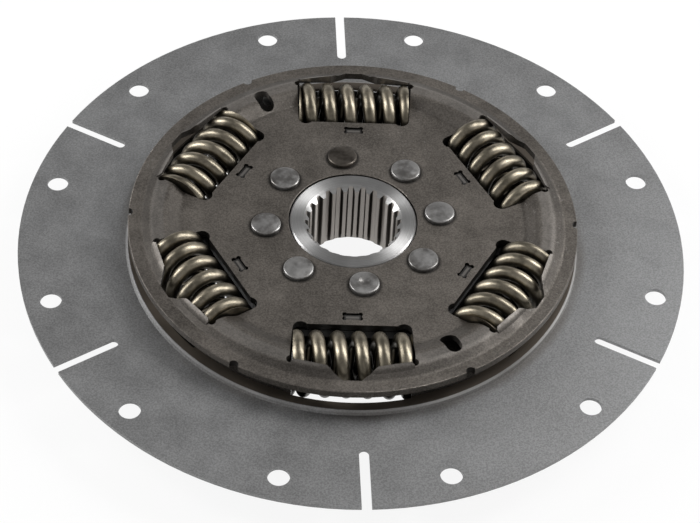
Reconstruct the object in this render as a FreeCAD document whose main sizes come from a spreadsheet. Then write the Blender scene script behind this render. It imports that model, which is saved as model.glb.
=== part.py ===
"""Clutch disc with a sprung torsion damper, modelled as a parametric document.

Millimetres and degrees. The hub axis is Z, and +Z points to the front, the side with the flat hub face.
Z = 0 is the rear face of the flex plate, the thin outer ring that bolts to the flywheel.
"""
import FreeCAD, Part
import math
import os
import Sketcher

Vector = FreeCAD.Vector

SIZES = [
    # The flex plate: a flat bolting ring with a raised inner rim.
    ("bolt_circle_d", 320.0, "circle of the flywheel bolts"),
    ("bolt_hole_d", 11.0, "clearance for M10"),
    ("bolt_count", 12, "flywheel bolts"),
    ("bolt_first_angle", 15.0, "first bolt hole from the X axis"),
    ("plate_outer_d", 346.5, "rim of the flex plate"),
    ("plate_sheet", 2.0, "thickness of the flex plate"),
    ("plate_rise", 2.7, "how far the inner rim stands above the bolting ring"),
    ("rise_outer_r", 117.9, "foot of the step on its front side"),
    ("rise_inner_r", 116.7, "top of the step on its front side"),
    ("rise_wall", 1.6, "wall of the step, measured along the radius"),
    ("tongue_inner_r", 97.0, "inner ends of the tongues between the springs"),
    ("plate_window_r", 112.0, "outer edge of the plate's spring windows"),
    ("relief_slot_w", 5.0, "width of the radial relief slots"),
    ("relief_slot_inner_r", 138.6, "inner end of the relief slots"),
    ("relief_slot_count", 6, "radial relief slots"),
    ("relief_slot_angle", 30.0, "first relief slot from the X axis"),
    # The pattern that the windows, the tongues and the springs share.
    ("spring_count", 6, "spring places"),
    ("pattern_angle", -2.6, "turn of the window pattern against the Y axis"),
    # The drive disc: a thick star of six arms that pushes the springs.
    ("disc_sheet", 5.0, "thickness of the drive disc"),
    ("disc_bore_r", 56.0, "bore that runs on the centring bush"),
    ("disc_outer_r", 111.0, "ends of the arms"),
    ("disc_window_inner_r", 70.0, "inner edge of the disc's spring windows"),
    ("disc_window_corner", 3.0, "radius in the corners of those windows"),
    ("drive_rivet_d", 7.0, "shank of the rivets between arms and tongues"),
    ("drive_rivet_head_d", 11.5, "their heads"),
    ("drive_rivet_head_h", 1.8, "height of their heads"),
    ("drive_rivet_r", 104.0, "circle of these rivets"),
    ("drive_rivet_angle", 5.2, "each rivet's angle from the middle of its arm"),
    # The springs: one stout coil and one thin coil inside it at each place.
    ("spring_circle_r", 89.0, "distance of the springs' own axes from the hub axis"),
    ("spring_length", 59.0, "length between the ground ends"),
    ("spring_end_gap", 0.1, "play at each end of a spring in the drive disc"),
    ("spring_phase_1", 102.0, "turn of the first pair of coils about their own axis"),
    ("spring_phase_2", 223.0, "turn of the second pair"),
    ("spring_phase_3", 273.0, "turn of the third pair"),
    ("spring_phase_4", 153.0, "turn of the fourth pair"),
    ("spring_phase_5", 93.0, "turn of the fifth pair"),
    ("spring_phase_6", 283.0, "turn of the sixth pair"),
    ("outer_coil_d", 34.0, "outside of the stout coil"),
    ("outer_wire_d", 7.0, "its wire"),
    ("outer_coil_turns", 5.0, "its open turns"),
    ("inner_coil_d", 18.6, "outside of the thin coil"),
    ("inner_wire_d", 4.0, "its wire"),
    ("inner_coil_turns", 8.0, "its open turns"),
    ("end_coil_share", 0.88, "pitch of the closing half turns as a share of the wire"),
    # The two covers: pressed rings that are mirror images of each other.
    ("cover_sheet", 4.0, "thickness of the covers"),
    ("cover_outer_r", 116.2, "rim of the covers"),
    ("cover_bore_r", 33.4, "hole round the hub"),
    ("cover_flat_h", 10.4, "outer face of the flat middle above the springs' plane"),
    ("cover_crest_h", 14.2, "outer face of the ridge above the springs' plane"),
    ("cover_band_h", 11.6, "outer face of the rim band above the springs' plane"),
    ("crest_foot_r", 89.5, "where the flat middle ends"),
    ("crest_inner_r", 96.0, "where the ridge begins"),
    ("crest_outer_r", 103.4, "where the ridge ends"),
    ("band_inner_r", 109.6, "where the rim band begins"),
    ("cover_bend", 3.2, "inside radius of the bends"),
    ("cover_edge", 0.5, "rounding of the rim and the bore on the outer face"),
    ("rim_notch_d", 5.0, "small half-round notches in the rim"),
    ("oval_hole_w", 8.0, "width of the two oval holes"),
    ("oval_hole_inner_r", 90.4, "inner end of an oval hole"),
    ("oval_hole_outer_r", 104.0, "outer end of an oval hole"),
    # The spring windows in the covers.
    ("window_inner_r", 72.0, "straight inner edge"),
    ("window_inner_half", 29.7, "half the length at the inner edge"),
    ("window_corner", 3.5, "radius in the inner corners"),
    ("window_outer_r", 98.8, "outer corners, measured along the middle line"),
    ("window_outer_half", 31.0, "half the length at the outer corners"),
    ("window_flap_r", 102.7, "outer edge where the notch begins"),
    ("window_notch_r", 109.0, "top of the notch in the outer edge"),
    ("window_notch_base_half", 12.6, "half the notch's width at its base"),
    ("window_notch_top_half", 4.6, "half the notch's width at its top"),
    ("window_notch_corner", 1.5, "radius in the notch"),
    ("rear_notch_base_r", 100.0, "outer edge of the rear windows where their notch begins"),
    ("rear_notch_base_half", 25.0, "half the rear notch's width at its base"),
    ("rear_notch_half", 21.5, "half the rear notch's width at its top"),
    ("rear_notch_r", 106.0, "top of the rear notch, an arc about the hub axis"),
    ("window_relief_d", 8.0, "round reliefs in the inner corners"),
    ("window_relief_depth", 1.5, "how far they reach past the inner edge"),
    ("window_ear_d", 4.0, "small round reliefs in the outer corners"),
    ("seat_clear", 0.4, "room between a stout coil and the edges that curve over it"),
    ("lip_inner_r", 102.0, "where the raised section along a window's outer edge begins"),
    ("lip_inner_h", 16.4, "height of that place above the springs' plane"),
    ("lip_outer_r", 104.9, "where a lip's back bends down"),
    ("lip_outer_h", 14.7, "height of that place"),
    ("lip_bend", 4.0, "radius of the bend"),
    ("lip_foot_r", 106.6, "where its back runs into the cover"),
    ("lip_foot_h", 12.4, "height of that place, within the sheet"),
    ("lip_root_h", 10.6, "underside of the raised section, within the sheet"),
    ("lip_span", 33.6, "angle over both lips of a window"),
    # The lugs that hold the front friction ring in the front cover.
    ("lug_circle_r", 66.3, "circle of the lug slots"),
    ("lug_slot_l", 9.2, "length of a lug slot"),
    ("lug_slot_w", 4.0, "width of a lug slot"),
    ("lug_slot_relief_d", 2.4, "round reliefs in the slot's corners"),
    ("lug_play", 0.4, "play of a lug in its slot"),
    ("lug_below_face", 0.9, "how far a lug ends below the cover's outer face"),
    # The hub: a splined sleeve with a thick flange between the covers.
    ("hub_front_h", 10.4, "front face above the springs' plane"),
    ("hub_rear_h", 30.2, "rear end below the springs' plane"),
    ("hub_outer_r", 32.8, "sleeve"),
    ("hub_flange_r", 54.0, "flange"),
    ("hub_edge", 0.8, "bevel of the sleeve's outer edges"),
    ("hub_rear_bevel", 1.6, "bevel of the rear end's outer edge"),
    ("spline_teeth", 24, "teeth of the internal spline"),
    ("spline_module", 2.0, "module of the spline"),
    ("spline_root_r", 25.0, "bottoms of the tooth spaces"),
    ("spline_tip_r", 23.0, "crests of the teeth"),
    ("spline_space_share", 0.5, "share of the pitch taken by a space at the pitch circle"),
    ("spline_flank_lean", 0.5, "how much each flank leans in over half a tooth's depth"),
    ("spline_mouth", 1.6, "bevel at both mouths of the bore"),
    # The rivets through both covers and the hub flange.
    ("hub_rivet_count", 8, "rivets"),
    ("hub_rivet_r", 45.3, "their circle"),
    ("hub_rivet_angle", 4.9, "first rivet from the X axis"),
    ("hub_rivet_d", 10.0, "shank"),
    ("hub_rivet_head_d", 15.4, "head"),
    ("hub_rivet_rim_h", 2.0, "height of the head at its rim"),
    ("hub_rivet_head_h", 2.5, "height of the head in its middle"),
    # The friction stack and the bush inside the damper.
    ("bush_clear", 0.05, "running clearance of the centring bush in the disc"),
    ("face_clear", 0.05, "running clearance of the friction faces on the disc"),
    ("friction_inner_r", 57.0, "bore of the friction rings"),
    ("friction_outer_r", 69.0, "rim of the friction rings"),
    ("rear_friction_sheet", 2.2, "thickness of the rear friction ring"),
    ("washer_sheet", 1.2, "sheet of the conical spring washer"),
    ("washer_inner_r", 57.5, "bore of the spring washer"),
    ("washer_outer_r", 68.0, "rim of the spring washer"),
    ("washer_seat", 1.0, "width of the flats on which the washer rests"),
]

doc = FreeCAD.newDocument("clutch_disc")
sheet = doc.addObject("Spreadsheet::Sheet", "sizes")


class Size:
    """A length, angle or count that carries its number and the spreadsheet expression for it."""

    def __init__(self, number, text):
        self.number = number
        self.text = text

    def joined(self, other, sign, number):
        return Size(number, "(%s %s %s)" % (self.text, sign, as_size(other).text))

    def __add__(self, other):
        return self.joined(other, "+", self.number + as_size(other).number)

    def __sub__(self, other):
        return self.joined(other, "-", self.number - as_size(other).number)

    def __mul__(self, other):
        return self.joined(other, "*", self.number * as_size(other).number)

    def __truediv__(self, other):
        return self.joined(other, "/", self.number / as_size(other).number)

    def __neg__(self):
        return self * -1

    def __radd__(self, other):
        return as_size(other) + self

    def __rsub__(self, other):
        return as_size(other) - self

    def __rmul__(self, other):
        return as_size(other) * self

    def __rtruediv__(self, other):
        return as_size(other) / self


def as_size(item):
    """Return the item as a Size, so that plain factors can be mixed in."""
    return item if isinstance(item, Size) else Size(item, "(%r)" % item)


def sine(angle):
    """Sine of a Size in degrees."""
    return Size(math.sin(math.radians(angle.number)), "sin(%s)" % angle.text)


def cosine(angle):
    """Cosine of a Size in degrees."""
    return Size(math.cos(math.radians(angle.number)), "cos(%s)" % angle.text)


def fill_sheet():
    """Write the sizes to the spreadsheet and return them by name."""
    named = {}
    for row, (alias, number, note) in enumerate(SIZES, start=1):
        sheet.set("A%d" % row, alias)
        sheet.set("B%d" % row, str(number))
        sheet.setAlias("B%d" % row, alias)
        sheet.set("C%d" % row, note)
        named[alias] = Size(float(number), "sizes.%s" % alias)
    doc.recompute()
    return named


dim = fill_sheet()

# Places that several pieces share.
plate_top = dim["plate_sheet"]
rim_bottom = dim["plate_rise"]
rim_top = rim_bottom + dim["plate_sheet"]
disc_bottom = rim_top
disc_top = disc_bottom + dim["disc_sheet"]
mid_plane = (rim_bottom + disc_top) / 2
spring_room_half = dim["spring_length"] / 2 + dim["spring_end_gap"]
front_cover_inside = mid_plane + dim["cover_flat_h"] - dim["cover_sheet"]
rear_cover_inside = mid_plane - dim["cover_flat_h"] + dim["cover_sheet"]
window_step = 360 / dim["spring_count"]
web_angle = dim["pattern_angle"] + window_step / 2
bush_outer_r = dim["disc_bore_r"] - dim["bush_clear"]
seat_r = dim["outer_coil_d"] / 2 + dim["seat_clear"]


def new_body(label):
    """Add an empty body with the given label."""
    body = doc.addObject("PartDesign::Body", label)
    body.Label = label
    return body


def origin_feature(body, role):
    """Find one of the body's own origin planes or axes by its role."""
    return next(item for item in body.Origin.OriginFeatures if item.Role == role)


def new_sketch(body, name, plane="XY_Plane", turn=None):
    """Add a sketch on an origin plane of the body, turned about its normal by the Size turn."""
    sketch = body.newObject("Sketcher::SketchObject", name)
    sketch.AttachmentSupport = [(origin_feature(body, plane), "")]
    sketch.MapMode = "FlatFace"
    if turn is not None:
        sketch.AttachmentOffset = FreeCAD.Placement(Vector(), FreeCAD.Rotation(Vector(0, 0, 1), turn.number))
        sketch.setExpression("AttachmentOffset.Rotation.Angle", "(%s) * 1 deg" % turn.text)
    return sketch


def bind(sketch, constraint, size):
    """Add a constraint that ends in a number, and tie that number to the sheet."""
    index = sketch.addConstraint(Sketcher.Constraint(*constraint, size.number))
    sketch.setExpression("Constraints[%d]" % index, size.text)


def add_circle(sketch, x, y, diameter):
    """Draw a circle with its centre at x, y."""
    shape = Part.Circle(Vector(x.number, y.number, 0), Vector(0, 0, 1), diameter.number / 2)
    index = sketch.addGeometry(shape, False)
    bind(sketch, ("Diameter", index), diameter)
    bind(sketch, ("DistanceX", -1, 1, index, 3), x)
    bind(sketch, ("DistanceY", -1, 1, index, 3), y)


class Corner:
    """A corner of an outline, with an optional rounding, or an arc about the axis to the next corner."""

    def __init__(self, x, y, rounding=None, arc_to_next=None):
        self.x = as_size(x)
        self.y = as_size(y)
        self.rounding = rounding
        self.arc_to_next = arc_to_next

    def place(self):
        return Vector(self.x.number, self.y.number, 0)


def rounding_ends(before, corner, after):
    """Where the rounding of a corner leaves its two straight edges, and its centre."""
    towards_before = (before.place() - corner.place()).normalize()
    towards_after = (after.place() - corner.place()).normalize()
    half = towards_before.getAngle(towards_after) / 2
    run = corner.rounding.number / math.tan(half)
    middle = (towards_before + towards_after).normalize() * (corner.rounding.number / math.sin(half))
    return corner.place() + towards_before * run, corner.place() + towards_after * run, corner.place() + middle


def add_outline(sketch, corners):
    """Draw a closed outline of straight edges, arcs about the sketch's origin and rounded corners."""
    count = len(corners)
    starts = [corner.place() for corner in corners]
    ends = [corners[(i + 1) % count].place() for i in range(count)]
    bows = {}
    for i, corner in enumerate(corners):
        if corner.rounding is not None:
            arrive, leave, centre = rounding_ends(corners[i - 1], corner, corners[(i + 1) % count])
            ends[i - 1] = arrive
            starts[i] = leave
            bows[i] = (arrive, leave, centre)
    edges = []
    for i, corner in enumerate(corners):
        if corner.arc_to_next is None:
            shape = Part.LineSegment(starts[i], ends[i])
            edges.append((sketch.addGeometry(shape, False), 1, 2))
        else:
            edges.append(add_axis_arc(sketch, starts[i], ends[i], corner.arc_to_next))
    for i, corner in enumerate(corners):
        before, after = edges[i - 1], edges[i]
        if corner.rounding is None:
            sketch.addConstraint(Sketcher.Constraint("Coincident", before[0], before[2], after[0], after[1]))
            place_corner(sketch, after[0], after[1], corner, corners[i - 1].arc_to_next or corner.arc_to_next)
        else:
            add_rounding(sketch, before, after, corner, bows[i])


def add_axis_arc(sketch, start, end, radius):
    """Draw an arc about the sketch's origin and return its index with the numbers of its ends."""
    first, last = math.atan2(start.y, start.x), math.atan2(end.y, end.x)
    runs_back = (last - first) % (2 * math.pi) > math.pi
    low, high = (last, first) if runs_back else (first, last)
    circle = Part.Circle(Vector(), Vector(0, 0, 1), radius.number)
    index = sketch.addGeometry(Part.ArcOfCircle(circle, low, high), False)
    sketch.addConstraint(Sketcher.Constraint("Coincident", index, 3, -1, 1))
    bind(sketch, ("Radius", index), radius)
    return (index, 2, 1) if runs_back else (index, 1, 2)


def place_corner(sketch, geometry, end, corner, on_arc):
    """Fix a sharp corner; the arc beside it already gives its distance from the axis."""
    bind(sketch, ("DistanceX", -1, 1, geometry, end), corner.x)
    if on_arc is None:
        bind(sketch, ("DistanceY", -1, 1, geometry, end), corner.y)


def add_rounding(sketch, before, after, corner, bow):
    """Round a corner: the straight edges still aim at the corner's own point."""
    arrive, leave, centre = bow
    first = math.atan2(arrive.y - centre.y, arrive.x - centre.x)
    last = math.atan2(leave.y - centre.y, leave.x - centre.x)
    runs_back = (last - first) % (2 * math.pi) > math.pi
    low, high = (last, first) if runs_back else (first, last)
    circle = Part.Circle(centre, Vector(0, 0, 1), corner.rounding.number)
    arc = sketch.addGeometry(Part.ArcOfCircle(circle, low, high), False)
    arc_start, arc_end = (2, 1) if runs_back else (1, 2)
    sketch.addConstraint(Sketcher.Constraint("Tangent", before[0], before[2], arc, arc_start))
    sketch.addConstraint(Sketcher.Constraint("Tangent", after[0], after[1], arc, arc_end))
    bind(sketch, ("Radius", arc), corner.rounding)
    point = sketch.addGeometry(Part.Point(corner.place()), True)
    sketch.addConstraint(Sketcher.Constraint("PointOnObject", point, 1, before[0]))
    sketch.addConstraint(Sketcher.Constraint("PointOnObject", point, 1, after[0]))
    place_corner(sketch, point, 1, corner, None)


def revolve(body, name, corners):
    """Turn a closed profile, given as radius and height, about the hub axis."""
    sketch = new_sketch(body, name + "_profile", "XZ_Plane")
    add_outline(sketch, corners)
    turned = body.newObject("PartDesign::Revolution", name)
    turned.Profile = sketch
    turned.ReferenceAxis = (sketch, ["V_Axis"])
    turned.Angle = 360
    sketch.Visibility = False
    return turned


def cut_through(body, name, sketch):
    """Cut a sketch right through the body, both ways."""
    cut = body.newObject("PartDesign::Pocket", name)
    cut.Profile = sketch
    cut.Type = "ThroughAll"
    cut.SideType = "Symmetric"
    sketch.Visibility = False
    return cut


def repeat(body, name, features, count):
    """Repeat features about the hub axis."""
    pattern = body.newObject("PartDesign::PolarPattern", name)
    pattern.Originals = features
    pattern.Axis = (origin_feature(body, "Z_Axis"), [""])
    pattern.Angle = 360
    pattern.setExpression("Occurrences", count.text)
    body.Tip = pattern
    return pattern


def cut_holes(body, name, radius, diameter, count, angle):
    """Cut a circle of round holes."""
    sketch = new_sketch(body, name + "_sketch", turn=angle)
    add_circle(sketch, radius, as_size(0.0), diameter)
    return repeat(body, name + "_circle", [cut_through(body, name, sketch)], count)


def cut_drive_rivet_holes(body):
    """Cut the pairs of rivet holes in the arms or the tongues."""
    sketch = new_sketch(body, "drive_rivet_sketch", turn=web_angle)
    across = dim["drive_rivet_r"] * sine(dim["drive_rivet_angle"])
    along = dim["drive_rivet_r"] * cosine(dim["drive_rivet_angle"])
    for side in (-1, 1):
        add_circle(sketch, across * side, along, dim["drive_rivet_d"])
    holes = cut_through(body, "drive_rivet_holes", sketch)
    repeat(body, "drive_rivet_circle", [holes], dim["spring_count"])


def height_on_circle(across, radius):
    """Height above the axis of the point on a circle about it that lies across from the middle."""
    return Size(math.sqrt(radius.number ** 2 - across.number ** 2),
                "sqrt(%s * %s - %s * %s)" % (radius.text, radius.text, across.text, across.text))


def arched_window(inner_half, inner, outer_half, reach):
    """Corners of a window whose outer edge is an arc of radius reach about the hub axis."""
    height = height_on_circle(outer_half, reach)
    return [Corner(-inner_half, inner), Corner(inner_half, inner),
            Corner(outer_half, height, arc_to_next=reach), Corner(-outer_half, height)]


def build_flex_plate():
    """The thin bolting ring with its stepped inner rim, windows and tongues."""
    body = new_body("flex_plate")
    rim_r = dim["plate_outer_d"] / 2
    wall = dim["rise_wall"]
    revolve(body, "plate_ring", [
        Corner(dim["tongue_inner_r"], rim_bottom),
        Corner(dim["rise_inner_r"] - wall, rim_bottom),
        Corner(dim["rise_outer_r"] - wall, 0),
        Corner(rim_r, 0),
        Corner(rim_r, plate_top),
        Corner(dim["rise_outer_r"], plate_top),
        Corner(dim["rise_inner_r"], rim_top),
        Corner(dim["tongue_inner_r"], rim_top),
    ])
    cut_holes(body, "bolt_hole", dim["bolt_circle_d"] / 2, dim["bolt_hole_d"], dim["bolt_count"],
              dim["bolt_first_angle"])
    slot = new_sketch(body, "relief_slot_sketch", turn=dim["relief_slot_angle"])
    half = dim["relief_slot_w"] / 2
    inner = dim["relief_slot_inner_r"]
    outer = rim_r + dim["relief_slot_w"]
    rounding = half * 0.99
    add_outline(slot, [Corner(inner, -half, rounding), Corner(outer, -half), Corner(outer, half),
                       Corner(inner, half, rounding)])
    repeat(body, "relief_slots", [cut_through(body, "relief_slot", slot)], dim["relief_slot_count"])
    window = new_sketch(body, "plate_window_sketch", turn=dim["pattern_angle"])
    add_outline(window, arched_window(spring_room_half, dim["disc_window_inner_r"], spring_room_half,
                                      dim["plate_window_r"]))
    repeat(body, "plate_windows", [cut_through(body, "plate_window", window)], dim["spring_count"])
    cut_drive_rivet_holes(body)
    return body


def build_drive_disc():
    """The thick star between the covers: its six arms push the springs."""
    body = new_body("drive_disc")
    revolve(body, "disc_blank", [
        Corner(dim["disc_bore_r"], disc_bottom),
        Corner(dim["disc_outer_r"], disc_bottom),
        Corner(dim["disc_outer_r"], disc_top),
        Corner(dim["disc_bore_r"], disc_top),
    ])
    window = new_sketch(body, "disc_window_sketch", turn=dim["pattern_angle"])
    open_end = dim["disc_outer_r"] + dim["disc_sheet"]
    inner = dim["disc_window_inner_r"]
    corner = dim["disc_window_corner"]
    add_outline(window, [Corner(-spring_room_half, inner, corner), Corner(spring_room_half, inner, corner),
                         Corner(spring_room_half, open_end), Corner(-spring_room_half, open_end)])
    repeat(body, "disc_windows", [cut_through(body, "disc_window", window)], dim["spring_count"])
    cut_drive_rivet_holes(body)
    return body


def cover_profile(side):
    """The pressed section of a cover; side is 1 for the front cover and -1 for the rear one."""
    bend = dim["cover_bend"]
    stretch = bend + dim["cover_sheet"]
    face = [("cover_bore_r", "cover_flat_h"), ("crest_foot_r", "cover_flat_h"), ("crest_inner_r", "cover_crest_h"),
            ("crest_outer_r", "cover_crest_h"), ("band_inner_r", "cover_band_h"), ("cover_outer_r", "cover_band_h")]
    hollow = (1, 4)
    outside, inside = [], []
    for place, (radius, height) in enumerate(face):
        bent = 0 < place < len(face) - 1
        outside_bend = bend if place in hollow else stretch if bent else dim["cover_edge"]
        inside_bend = stretch if place in hollow else bend
        outside.append(Corner(dim[radius], mid_plane + dim[height] * side, outside_bend))
        under = (dim[height] - dim["cover_sheet"]) * side
        inside.append(Corner(dim[radius], mid_plane + under, inside_bend if bent else None))
    return outside + inside[::-1]


def section_sketch(body, name, radius):
    """A sketch across a window's middle, with its origin on the springs' plane at the given radius."""
    sketch = new_sketch(body, name, "YZ_Plane")
    angle = dim["pattern_angle"]
    place = {"x": radius * cosine(angle), "y": mid_plane, "z": -radius * sine(angle)}
    base = Vector(place["x"].number, place["y"].number, place["z"].number)
    sketch.AttachmentOffset = FreeCAD.Placement(base, FreeCAD.Rotation(Vector(0, 1, 0), angle.number))
    sketch.setExpression("AttachmentOffset.Rotation.Angle", "(%s) * 1 deg" % angle.text)
    for axis, size in place.items():
        sketch.setExpression("AttachmentOffset.Base.%s" % axis, size.text)
    return sketch


def raise_lips(body, side):
    """Raise the cover along a window's outer edge, as a part of a ring about the hub axis."""
    section = section_sketch(body, "lip_section", as_size(0.0))
    places = [("lip_inner_r", "lip_root_h", None), ("lip_foot_r", "lip_root_h", None),
              ("lip_foot_r", "lip_foot_h", None), ("lip_outer_r", "lip_outer_h", dim["lip_bend"]),
              ("lip_inner_r", "lip_inner_h", None)]
    add_outline(section, [Corner(dim[radius], dim[height] * side, bend) for radius, height, bend in places])
    lips = body.newObject("PartDesign::Revolution", "lips")
    lips.Profile = section
    lips.ReferenceAxis = (section, ["V_Axis"])
    lips.Midplane = True
    lips.Angle = dim["lip_span"].number
    lips.setExpression("Angle", "(%s) * 1 deg" % dim["lip_span"].text)
    section.Visibility = False
    return lips


def hollow_seat(body):
    """Hollow the ridge to the curve of the spring."""
    section = section_sketch(body, "seat_section", dim["spring_circle_r"])
    add_circle(section, as_size(0.0), as_size(0.0), seat_r * 2)
    seat = body.newObject("PartDesign::Pocket", "seat")
    seat.Profile = section
    seat.SideType = "Symmetric"
    seat.Length = dim["window_inner_half"].number * 2
    seat.setExpression("Length", (dim["window_inner_half"] * 2).text)
    section.Visibility = False
    return seat


def cut_notched_window(body):
    """Cut one of the front cover's windows, whose outer edge has a notch in its middle."""
    window = new_sketch(body, "window_sketch", turn=dim["pattern_angle"])
    corner, notch = dim["window_corner"], dim["window_notch_corner"]
    half = [("window_inner_half", "window_inner_r", corner), ("window_outer_half", "window_outer_r", None),
            ("window_notch_base_half", "window_flap_r", None), ("window_notch_top_half", "window_notch_r", notch)]
    right = [Corner(dim[across], dim[along], rounding) for across, along, rounding in half]
    left = [Corner(-dim[across], dim[along], rounding) for across, along, rounding in half[::-1]]
    add_outline(window, right + left)
    ear = new_sketch(body, "window_ear_sketch", turn=dim["pattern_angle"])
    for side in (-1, 1):
        add_circle(ear, (dim["window_outer_half"] - dim["window_ear_d"] / 8) * side,
                   dim["window_outer_r"] - dim["window_ear_d"] / 5, dim["window_ear_d"])
    return [cut_through(body, "window", window), cut_through(body, "window_ear", ear)]


def cut_wide_window(body):
    """Cut one of the rear cover's windows, whose notch is nearly as wide as the window."""
    window = new_sketch(body, "window_sketch", turn=dim["pattern_angle"])
    reach, half = dim["rear_notch_r"], dim["rear_notch_half"]
    inner = dim["window_inner_half"], dim["window_inner_r"]
    outer = dim["window_outer_half"], dim["window_outer_r"]
    base = dim["rear_notch_base_half"], dim["rear_notch_base_r"]
    top = half, height_on_circle(half, reach)
    add_outline(window, [
        Corner(-inner[0], inner[1], dim["window_corner"]), Corner(*inner, dim["window_corner"]),
        Corner(*outer), Corner(*base), Corner(*top, arc_to_next=reach),
        Corner(-top[0], top[1]), Corner(-base[0], base[1]), Corner(-outer[0], outer[1]),
    ])
    return [cut_through(body, "window", window)]


def cut_window_reliefs(body):
    """Cut the round reliefs in a window's inner corners."""
    relief = new_sketch(body, "window_relief_sketch", turn=dim["pattern_angle"])
    radius = dim["window_relief_d"] / 2
    for side in (-1, 1):
        add_circle(relief, (dim["window_inner_half"] - radius) * side,
                   dim["window_inner_r"] - dim["window_relief_depth"] + radius, dim["window_relief_d"])
    return [cut_through(body, "window_relief", relief)]


def cut_oval_holes(body):
    """Cut the two oval holes that lie opposite each other between windows."""
    sketch = new_sketch(body, "oval_hole_sketch", turn=web_angle)
    half = dim["oval_hole_w"] / 2
    inner, outer = dim["oval_hole_inner_r"], dim["oval_hole_outer_r"]
    rounding = half * 0.98
    add_outline(sketch, [Corner(-half, inner, rounding), Corner(half, inner, rounding),
                         Corner(half, outer, rounding), Corner(-half, outer, rounding)])
    repeat(body, "oval_holes", [cut_through(body, "oval_hole", sketch)], as_size(2))


def cut_lug_slots(body):
    """Cut the slots for the friction ring's lugs, with a round relief in each corner."""
    slot = new_sketch(body, "lug_slot_sketch", turn=dim["pattern_angle"])
    half_l, half_w = dim["lug_slot_l"] / 2, dim["lug_slot_w"] / 2
    middle = dim["lug_circle_r"]
    add_outline(slot, [Corner(-half_l, middle - half_w), Corner(half_l, middle - half_w),
                       Corner(half_l, middle + half_w), Corner(-half_l, middle + half_w)])
    relief = new_sketch(body, "lug_relief_sketch", turn=dim["pattern_angle"])
    inset = dim["lug_slot_relief_d"] / 4
    for across in (-1, 1):
        for along in (-1, 1):
            add_circle(relief, (half_l - inset) * across, middle + (half_w - inset) * along,
                       dim["lug_slot_relief_d"])
    cuts = [cut_through(body, "lug_slot", slot), cut_through(body, "lug_relief", relief)]
    repeat(body, "lug_slots", cuts, dim["spring_count"])


def build_cover(label, side):
    """A pressed cover ring."""
    body = new_body(label)
    revolve(body, "pressed_ring", cover_profile(side))
    repeat(body, "lip_ring", [raise_lips(body, side)], dim["spring_count"])
    seat = hollow_seat(body)
    cuts = cut_notched_window(body) if side > 0 else cut_wide_window(body)
    repeat(body, "windows", [seat] + cuts + cut_window_reliefs(body), dim["spring_count"])
    cut_oval_holes(body)
    cut_holes(body, "hub_rivet_hole", dim["hub_rivet_r"], dim["hub_rivet_d"], dim["hub_rivet_count"],
              dim["hub_rivet_angle"])
    cut_holes(body, "rim_notch", dim["cover_outer_r"], dim["rim_notch_d"], dim["spring_count"], web_angle + 90)
    if side > 0:
        cut_lug_slots(body)
    return body


def build_hub():
    """The sleeve with its flange and its internal spline."""
    body = new_body("hub")
    front = mid_plane + dim["hub_front_h"]
    rear = mid_plane - dim["hub_rear_h"]
    tip, root = dim["spline_tip_r"], dim["spline_root_r"]
    mouth, edge, rear_bevel = dim["spline_mouth"], dim["hub_edge"], dim["hub_rear_bevel"]
    outer = dim["hub_outer_r"]
    throat = root + mouth / 2
    revolve(body, "hub_blank", [
        Corner(tip, rear + (throat - tip)),
        Corner(throat, rear),
        Corner(outer - rear_bevel, rear),
        Corner(outer, rear + rear_bevel),
        Corner(outer, rear_cover_inside),
        Corner(dim["hub_flange_r"], rear_cover_inside),
        Corner(dim["hub_flange_r"], front_cover_inside),
        Corner(outer, front_cover_inside),
        Corner(outer, front - edge),
        Corner(outer - edge, front),
        Corner(throat, front),
        Corner(tip, front - (throat - tip)),
    ])
    space = new_sketch(body, "spline_space_sketch")
    pitch_r = dim["spline_module"] * dim["spline_teeth"] / 2
    half_space = dim["spline_module"] * (math.pi / 2) * dim["spline_space_share"]
    lean = dim["spline_flank_lean"]
    root_half = half_space - lean * (root - pitch_r)
    tip_half = half_space + lean * (pitch_r - tip) * 2
    inside = tip - (pitch_r - tip)
    add_outline(space, [Corner(inside, -tip_half), Corner(root, -root_half), Corner(root, root_half),
                        Corner(inside, tip_half)])
    repeat(body, "spline", [cut_through(body, "spline_space", space)], dim["spline_teeth"])
    cut_holes(body, "hub_rivet_hole", dim["hub_rivet_r"], dim["hub_rivet_d"], dim["hub_rivet_count"],
              dim["hub_rivet_angle"])
    return body


def build_bush():
    """The plain bush on the hub flange that centres the drive disc."""
    body = new_body("centring_bush")
    revolve(body, "bush_ring", [
        Corner(dim["hub_flange_r"], disc_bottom),
        Corner(bush_outer_r, disc_bottom),
        Corner(bush_outer_r, disc_top),
        Corner(dim["hub_flange_r"], disc_top),
    ])
    return body


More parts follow.
